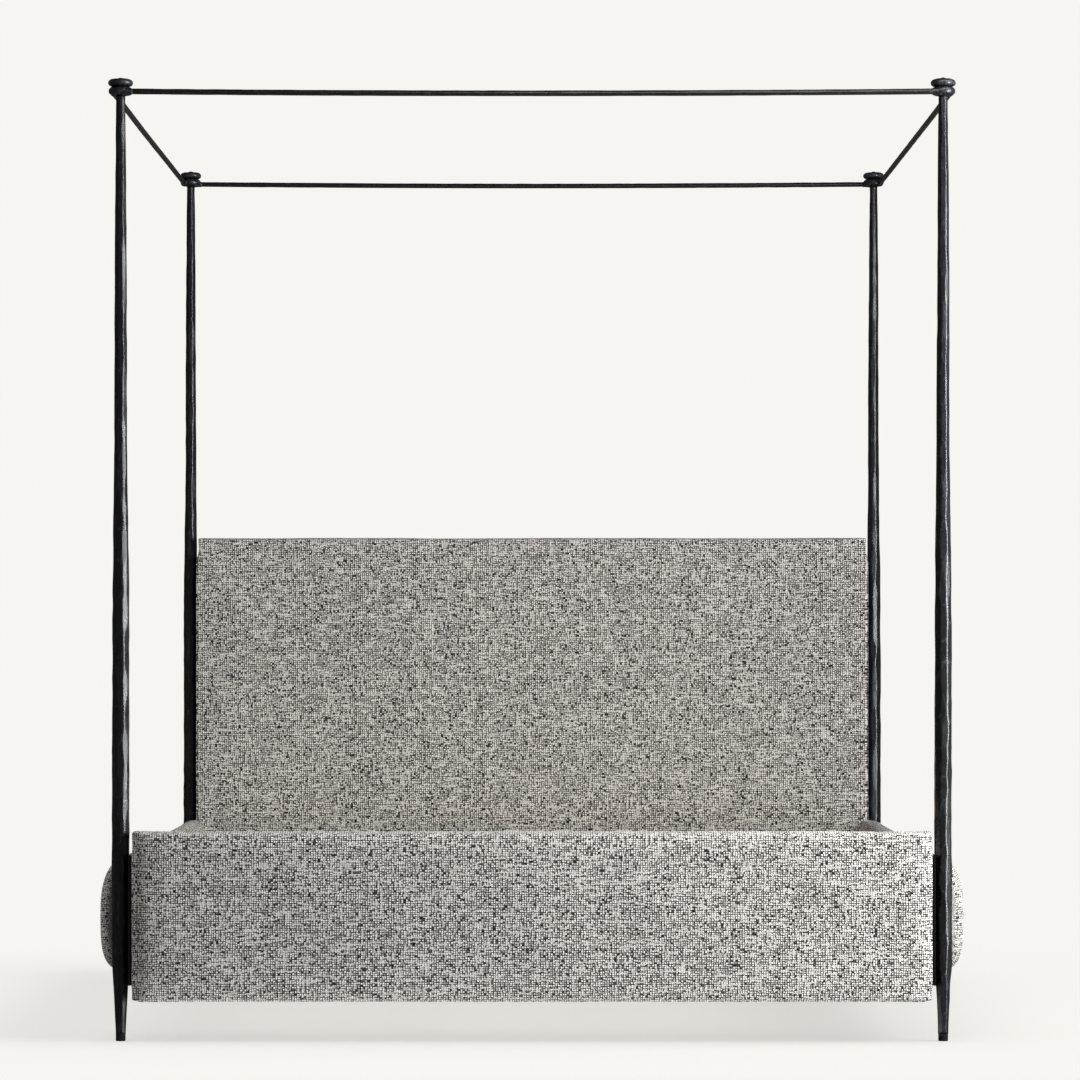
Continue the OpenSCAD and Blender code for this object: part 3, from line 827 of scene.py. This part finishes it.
def swell(piece, held, hold, slack=0.0045, cap=0.0065, pressure=4.0):
    """Sinks the cover by slack, blows it up again against its foam with Cloth, and caps how far
    it may go. Where hold is 1 the cover stays on its foam."""
    mesh = piece.data
    rest = vertices(mesh)
    direction = normals(mesh)
    weights = np.clip(hold * (1 + 0.35 * bumps(rest, 0.19, 3)), 0.02, 1)
    weights[held] = 1.0
    loose = (weights < 0.999).astype(float)[:, None]
    start = rest - direction * slack * loose
    set_vertices(mesh, start)
    group = piece.vertex_groups.new(name="hold")
    for number, weight in enumerate(weights):
        group.add([number], float(weight), "REPLACE")
    cloth = piece.modifiers.new("Cloth", "CLOTH")
    cloth.settings.quality = 5
    cloth.settings.mass = 0.3
    cloth.settings.tension_stiffness = 40
    cloth.settings.compression_stiffness = 30
    cloth.settings.shear_stiffness = 12
    cloth.settings.bending_stiffness = 2
    cloth.settings.use_pressure = True
    cloth.settings.uniform_pressure_force = pressure
    cloth.settings.effector_weights.gravity = 0
    cloth.settings.vertex_group_mass = "hold"
    cloth.settings.pin_stiffness = 1.0
    cloth.point_cache.frame_start = 1
    cloth.point_cache.frame_end = SWELL_FRAMES
    for step in range(1, SWELL_FRAMES + 1):
        bpy.context.scene.frame_set(step)
    blown = vertices(evaluated_mesh(piece))
    piece.modifiers.clear()
    piece.vertex_groups.clear()
    moved = blown - start
    distance = np.linalg.norm(moved, axis=1)[:, None] + 1e-9
    capped = moved / distance * cap * np.tanh(distance / cap)
    set_vertices(mesh, start + capped)
    bpy.context.scene.frame_set(1)


def refine(piece):
    smooth = piece.modifiers.new("Subdivision", "SUBSURF")
    smooth.levels = smooth.render_levels = 1
    smooth.uv_smooth = "PRESERVE_BOUNDARIES"
    bake_modifiers(piece)


def panel_held(points, low, high, outer_is_front, plate):
    """Which points of a panel's cover are held fast: at the post plates and behind the rails."""
    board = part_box("right_rail_board")
    above_rail = board[1].z + 0.018
    inner_y = high.y if outer_is_front else low.y
    far_out = np.abs(points[:, 0])
    at_plate = (far_out > high.x - 0.004) & (points[:, 2] > plate[0].z) & (points[:, 2] < plate[1].z)
    at_rail = (far_out > board[0].x - 0.005) & (np.abs(points[:, 1] - inner_y) < 0.004) \
        & (points[:, 2] > board[0].z) & (points[:, 2] < above_rail)
    return at_plate | at_rail


def pull_ears(points, low, high):
    """Draws the cover's four corners out into small ears."""
    to_end = high.x - np.abs(points[:, 0])
    to_edge = np.minimum(points[:, 2] - low.z, high.z - points[:, 2])
    ear = np.exp(-np.clip(to_end, 0, None) / 0.035) * np.exp(-np.clip(to_edge, 0, None) / 0.03)
    up = np.where(points[:, 2] > (low.z + high.z) / 2, 1, -0.5)
    points[:, 0] += np.sign(points[:, 0]) * ear * EAR_OUT
    points[:, 2] += up * ear * EAR_UP
    return to_end


def puff_over_plates(points, to_end, plate):
    """Lets the cover bulge sideways in front of the post plates' front edges."""
    before_plate = np.clip((plate[0].y - 0.004 - points[:, 1]) / 0.008, 0, 1)
    puff = PUFF * before_plate * np.exp(-np.clip(to_end, 0, None) / 0.012)
    points[:, 0] += np.sign(points[:, 0]) * puff


def pull_tuck(points, low, high, tuck):
    """Pulls the front face in along the line of the deck."""
    above = points[:, 2] - tuck
    pull = TUCK_DEPTH * np.where(above > 0, np.exp(-above / 0.034), np.exp(above / 0.008))
    in_front = np.clip((low.y + 0.03 - points[:, 1]) / 0.015, 0, 1)
    inside = np.clip((high.x - 0.012 - np.abs(points[:, 0])) / 0.03, 0, 1)
    points[:, 1] += pull * in_front * inside


def panel(name, node, outer_is_front, tuck=None):
    """One padded panel: cover, foam swell, corner ears and a slightly uneven hand-made face."""
    piece, lining = panel_cover(name, node, outer_is_front, tuck)
    low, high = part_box(node)
    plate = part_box(f"{'front' if outer_is_front else 'rear'}_right_post_plate")
    held = panel_held(vertices(piece.data), low, high, outer_is_front, plate)
    held[list(lining)] = True
    swell(piece, held, FOAM_HOLD)
    refine(piece)
    mesh = piece.data
    points = vertices(mesh)
    to_end = pull_ears(points, low, high)
    if not outer_is_front:
        puff_over_plates(points, to_end, plate)
    lumps = bumps(points, 0.16, 5) * 0.0007 + bumps(points, 0.05, 6) * 0.00025
    points += normals(mesh) * lumps[:, None]
    if tuck:
        pull_tuck(points, low, high, tuck)
    set_vertices(mesh, points)
    settle(piece, node)
    return piece


def rail_profile(node, side):
    """The CAD rail's own outline in X and Z, in even steps, clockwise seen from the bed's foot."""
    low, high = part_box(node)
    bulge = high.x - low.x - RAIL_CREST
    middle_x = (low.x if side > 0 else high.x) + side * RAIL_CREST
    middle_z, half = (low.z + high.z) / 2, (high.z - low.z) / 2
    points = []
    for reach, power, quarter in ((bulge, 2.5, 0), (RAIL_CREST, 6, 1), (RAIL_CREST, 6, 2),
                                  (bulge, 3.5, 3)):
        for step in range(60):
            angle = (quarter + step / 60) * math.pi / 2
            c, s = math.cos(angle), math.sin(angle)
            x = reach * math.copysign(abs(c) ** (2 / power), c)
            z = half * math.copysign(abs(s) ** (2 / power), s)
            points.append((middle_x + side * x, middle_z + z))
    points = np.array(points)
    run = ring_lengths(points)
    closed = np.vstack([points, points[:1]])
    count = round(run[-1] / RAIL_STEP)
    even = np.arange(count) / count * run[-1]
    points = np.column_stack([np.interp(even, run, closed[:, k]) for k in (0, 1)])
    return points if side < 0 else points[::-1]


def rail_end(side, profile, plate, panel_y, tip_y):
    """Rings from a rail's rounded tip to the panel, each as its Y and its outline. They stop
    short of the post plate, and outward() is turned round because the outline runs clockwise."""
    step_x = (plate[1].x if side > 0 else plate[0].x) + side * GAP
    inside = (profile[:, 0] - step_x) * side < 0
    clipped = profile.copy()
    clipped[inside, 0] = step_x
    facing = -outward(profile)
    facing[inside] = 0
    depth = tip_y - panel_y - GAP
    bends = np.radians([90, 72, 54, 36, 18, 0])
    tips = [(tip_y - depth * (1 - math.sin(b)), clipped - facing * RAIL_ROUND * (1 - math.cos(b)))
            for b in bends]
    centre = clipped.mean(0)
    caps = [(tip_y, centre + (tips[0][1] - centre) * share) for share in (0.15, 0.45, 0.8)]
    return caps + tips + [(panel_y, clipped)]


def bedwise_lengths(loops, end_rings):
    """How far along the cloth each ring lies; over the rounded ends it is further than the Y."""
    drops = [abs(loops[k][1] - loops[k + 1][1]).max() for k in range(end_rings)]
    ends = np.concatenate([np.cumsum(drops[::-1])[::-1], [0]])
    bedwise = np.array([y for y, _ in loops])
    bedwise[:len(ends)] -= ends
    bedwise[-len(ends):] += ends[::-1]
    return bedwise


def rail_cover(name, loops, bedwise, run, under, panel_y):
    """The closed cover over a rail's rings, with the lining where the outline is under it."""
    cover = Cover()
    rings = [cover.add(np.column_stack([p[:, 0], np.full(len(p), y), p[:, 1]])) for y, p in loops]
    for k in range(len(rings) - 1):
        y0, y1 = bedwise[k], bedwise[k + 1]
        for i in range(len(under)):
            n = (i + 1) % len(under)
            cover.quad((rings[k][i], rings[k][n], rings[k + 1][n], rings[k + 1][i]),
                       ((y0, run[i]), (y0, run[i + 1]), (y1, run[i + 1]), (y1, run[i])),
                       int(under[i] and abs(y0) < panel_y))
    for ring, order in ((rings[0], -1), (rings[-1], 1)):
        corners = ring[::order]
        cover.faces.append(corners.tolist())
        cover.uvs.extend([(cover.points[c][0], cover.points[c][2]) for c in corners])
        cover.slots.append(0)
    return cover.piece(name)


def rail(side_name):
    """A padded side rail: a D swept along the bed, stepped where it passes the panels."""
    side = SIDES[side_name]
    node = f"{side_name}_rail_upholstery"
    low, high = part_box(node)
    profile = rail_profile(node, side)
    panel_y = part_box("headboard_upholstery")[0].y - GAP
    end_rings = rail_end(side, profile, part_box(f"front_{side_name}_post_plate"), panel_y, high.y)
    loops = [(-y, outline) for y, outline in end_rings]
    count = round(2 * (panel_y - 0.002) / GRID)
    loops += [(y, profile) for y in np.linspace(-panel_y + 0.0004, panel_y - 0.0004, count + 1)]
    loops += end_rings[::-1]
    at_bottom = profile[:, 1] < low.z + 0.003
    under = at_bottom & np.roll(at_bottom, -1)
    bedwise = bedwise_lengths(loops, len(end_rings))
    piece = rail_cover(f"{side_name}_rail_cover", loops, bedwise, ring_lengths(profile), under,
                       panel_y)
    points = vertices(piece.data)
    held = (np.abs(points[:, 1]) > panel_y - 0.03) | (points[:, 2] < low.z + 0.003)
    swell(piece, held, FOAM_HOLD, slack=0.003, cap=0.0045)
    refine(piece)
    mesh = piece.data
    points = vertices(mesh)
    free = np.clip((panel_y - np.abs(points[:, 1])) / 0.05, 0, 1)
    lumps = (bumps(points, 0.17, 15) * 0.0008 + bumps(points, 0.05, 16) * 0.0003) * free
    wadding = RAIL_WADDING * free
    set_vertices(mesh, points + normals(mesh) * (wadding + lumps)[:, None])
    settle(piece, node)
    return piece


# ---- Deck and carried-over CAD parts ---------------------------------------------------

TAPE_WIDTH = 0.025
TAPE_DIP = 0.0016


def slat_tapes():
    """Two cotton tapes under the slats, dipping a little in each gap between them."""
    low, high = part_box("slat_straps")
    slats = vertices(nodes["slats"].data)
    edges = np.unique(np.round(slats[:, 1], 4))
    half_slat = (edges[1] - edges[0]) / 2
    pitch = (edges[-1] - edges[1]) / (len(edges) / 2 - 1)
    width, thick = TAPE_WIDTH, high.z - low.z
    for name, side in SIDES.items():
        x = side * (high.x - width / 2)
        y = np.arange(low.y, high.y + 1e-6, 0.004)
        beside = np.abs((y - edges[0] + pitch / 2 - half_slat) % pitch - pitch / 2)
        share = np.clip((beside - half_slat) / (pitch / 2 - half_slat), 0, 1)
        sag = TAPE_DIP * share ** 0.7
        across = np.array([-0.5, -0.46, 0.0, 0.46, 0.5, 0.46, 0.0, -0.46]) * width
        level = np.array([0.5, 0.1, 0.05, 0.1, 0.5, 0.95, 1.0, 0.95]) * thick
        cover = Cover()
        rings = [cover.add([(x + a, place, low.z + h - drop) for a, h in zip(across, level)])
                 for place, drop in zip(y, sag)]
        run = np.arange(len(across) + 1) * 0.005
        for k in range(len(rings) - 1):
            cover.band(rings[k + 1], rings[k], run, y[k], y[k + 1])
        cover.faces += [rings[0].tolist(), rings[-1][::-1].tolist()]
        cover.uvs += [(0.0, 0.0)] * (2 * len(across))
        cover.slots += [0, 0]
        tape = cover.piece(f"{name}_slat_tape")
        tape.data.materials.clear()
        tape.data.materials.append(LOOKS["webbing"])
        settle(tape, "slat_straps")


BEVELS = {"slats": 0.003, "centre_beam": 0.0012, "corner_brackets": 0.0008}


def carry_over(node, slot):
    """Gives a CAD part its material, and eases the sharp edges of the steel and the slats."""
    part = nodes[node]
    part.data.materials.clear()
    part.data.materials.append(LOOKS[slot])
    part.data.polygons.foreach_set("use_smooth", [True] * len(part.data.polygons))
    weld = part.modifiers.new("Weld", "WELD")
    weld.merge_threshold = 0.00001
    bevel = part.modifiers.new("Bevel", "BEVEL")
    bevel.width = BEVELS.get(node, 0.0006)
    bevel.segments = 2
    bevel.limit_method = "ANGLE"
    bevel.angle_limit = math.radians(40)
    bevel.harden_normals = True
    part.modifiers.new("Normals", "WEIGHTED_NORMAL")


def deck():
    slat_tapes()
    for subpart in frame["record"]["subparts"]:
        if not nodes[subpart["node"]].hide_render:
            carry_over(subpart["node"], subpart["material_slot"])


# ---- Stage -----------------------------------------------------------------------------

STAGE_RADIUS = 60.0
FLOOR_ALBEDO = 0.6
FILL = 0.08
SKY = 1.15
SUN = 1.0
SUN_FROM = Vector((3.0, -0.2, 2.6))
# Lamps that would draw white edges on the iron if it mirrored them.
DULL_LAMPS = ("key", "front", "left", "rear")
IRON_ENDINGS = ("_forged", "_forged_post")
STRIP_PLACE = (3.2, -2.6, 1.25)
STRIP_TARGET = (0.0, -1.0, 1.25)
CAMERA_PLACE = (0.004, -11.572, 1.027)
LENS = 139.97
SHIFT = (0.0060, 0.0833)
LAMPS = [
    ("key", (3.0, -2.4, 2.0), (-1.0, -3.1, 0.3), 292, (0.9, 1.3)),
    ("front", (1.4, -6.0, 2.6), (0, -0.6, 0.8), 24, (0.9, 1.6)),
    ("top", (0.9, -2.0, 3.0), (0.2, -0.6, 0.4), 24, (2.4, 0.8)),
    ("left", (-3.8, -1.6, 1.4), (-1.1, -1.0, 0.3), 34, (1.4, 2.0)),
    ("rear", (-2.0, 5.0, 2.8), (0, 0, 0.8), 190, (2.5, 2.0)),
    ("bounce", (0.0, -1.13, 0.01), (0.0, -1.13, 1.0), 1.6, (2.0, 0.12)),
]


def glow(name, strength, albedo):
    look = Look(name, Specular_IOR_Level=0.0, Emission_Color=(*BACKGROUND, 1.0),
                Emission_Strength=strength, Roughness=1.0)
    look.surface.inputs["Base Color"].default_value = (*[albedo * c for c in BACKGROUND], 1.0)
    return look.material


def backdrop():
    """A pale shell all round, seen by the camera only."""
    rings, sides = 24, 48
    points, faces = [], []
    for i in range(rings + 1):
        tilt = math.pi * (i / rings - 0.5) * 0.999
        for k in range(sides):
            turn = 2 * math.pi * k / sides
            points.append((STAGE_RADIUS * math.cos(tilt) * math.cos(turn),
                           STAGE_RADIUS * math.cos(tilt) * math.sin(turn),
                           STAGE_RADIUS * math.sin(tilt)))
    for i in range(rings):
        for k in range(sides):
            n = (k + 1) % sides
            faces.append((i * sides + k, i * sides + n, (i + 1) * sides + n, (i + 1) * sides + k))
    shell = new_object("backdrop", mesh_of("backdrop", points, faces), glow("backdrop", 1.0, 0.0))
    for ray in ("diffuse", "glossy", "transmission", "volume_scatter", "shadow"):
        setattr(shell, "visible_" + ray, False)


def floor():
    """A floor whose lit parts come out exactly as bright as the backdrop."""
    reach = STAGE_RADIUS * 0.98
    lit = FILL + (SUN * SUN_FROM.normalized().z + SKY) / math.pi
    glowing = 1.0 - FLOOR_ALBEDO * lit
    corners = [(-reach, -reach, 0), (reach, -reach, 0), (reach, reach, 0), (-reach, reach, 0)]
    ground = new_object("floor", mesh_of("floor", corners, [(0, 1, 2, 3)]),
                        glow("floor", glowing, FLOOR_ALBEDO))
    ground.visible_diffuse = False
    ground.visible_glossy = False
    return ground


def receivers(name, things, state):
    """A light group that only includes, or only leaves out, some things."""
    group = bpy.data.collections.new(name)
    for thing in things:
        group.objects.link(thing)
    for member in group.collection_objects:
        member.light_linking.link_state = state
    return group


def lamp(name, kind, place, target, power, receiver, **settings):
    data = bpy.data.lights.new(name, kind)
    data.energy = power
    for key, value in settings.items():
        setattr(data, key, value)
    made = bpy.data.objects.new(name, data)
    made.location = place
    made.rotation_euler = (Vector(target) - Vector(place)).to_track_quat("-Z", "Y").to_euler()
    made.visible_camera = False
    made.visible_glossy = name not in DULL_LAMPS
    made.light_linking.receiver_collection = receiver
    bpy.context.scene.collection.objects.link(made)


def studio():
    scene = bpy.context.scene
    scene.view_settings.view_transform = "Standard"
    world = bpy.data.worlds.new("studio")
    world.use_nodes = True
    light = world.node_tree.nodes["Background"]
    light.inputs["Color"].default_value = (1.0, 0.99, 0.965, 1.0)
    light.inputs["Strength"].default_value = FILL
    scene.world = world
    backdrop()
    ground = floor()
    only_floor = receivers("only_floor", [ground], "INCLUDE")
    no_floor = receivers("no_floor", [ground], "EXCLUDE")
    lamp("sun", "SUN", SUN_FROM, (0, 0, 0), SUN, only_floor, angle=math.radians(36))
    lamp("sky", "SUN", (0, 0, 3), (0, 0, 0), SKY, only_floor, angle=math.radians(110))
    for name, place, target, power, size in LAMPS:
        lamp(name, "AREA", place, target, power, no_floor, shape="RECTANGLE", size=size[0],
             size_y=size[1])


def strip_light():
    """A tall softbox for the ironwork alone, whose reflection runs the length of a post."""
    iron = [thing for thing in bpy.data.objects if thing.name.endswith(IRON_ENDINGS)]
    only_iron = receivers("only_iron", iron, "INCLUDE")
    lamp("strip", "AREA", STRIP_PLACE, STRIP_TARGET, 225, only_iron, color=(0.90, 0.94, 1.0),
         shape="RECTANGLE", size=0.55, size_y=2.8)


def camera():
    data = bpy.data.cameras.new("camera")
    data.sensor_width = 36.0
    data.lens = LENS
    data.shift_x, data.shift_y = SHIFT
    data.clip_start, data.clip_end = 0.1, 200.0
    made = bpy.data.objects.new("camera", data)
    made.location = CAMERA_PLACE
    made.rotation_euler = (math.radians(90), 0.0, 0.0)
    bpy.context.scene.collection.objects.link(made)
    bpy.context.scene.camera = made


studio()
camera()
ironwork()
strip_light()
panel("headboard_cover", "headboard_upholstery", False, tuck=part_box("slats")[1].z + TUCK_RISE)
panel("footboard_cover", "footboard_upholstery", True)
rail("left")
rail("right")
deck()
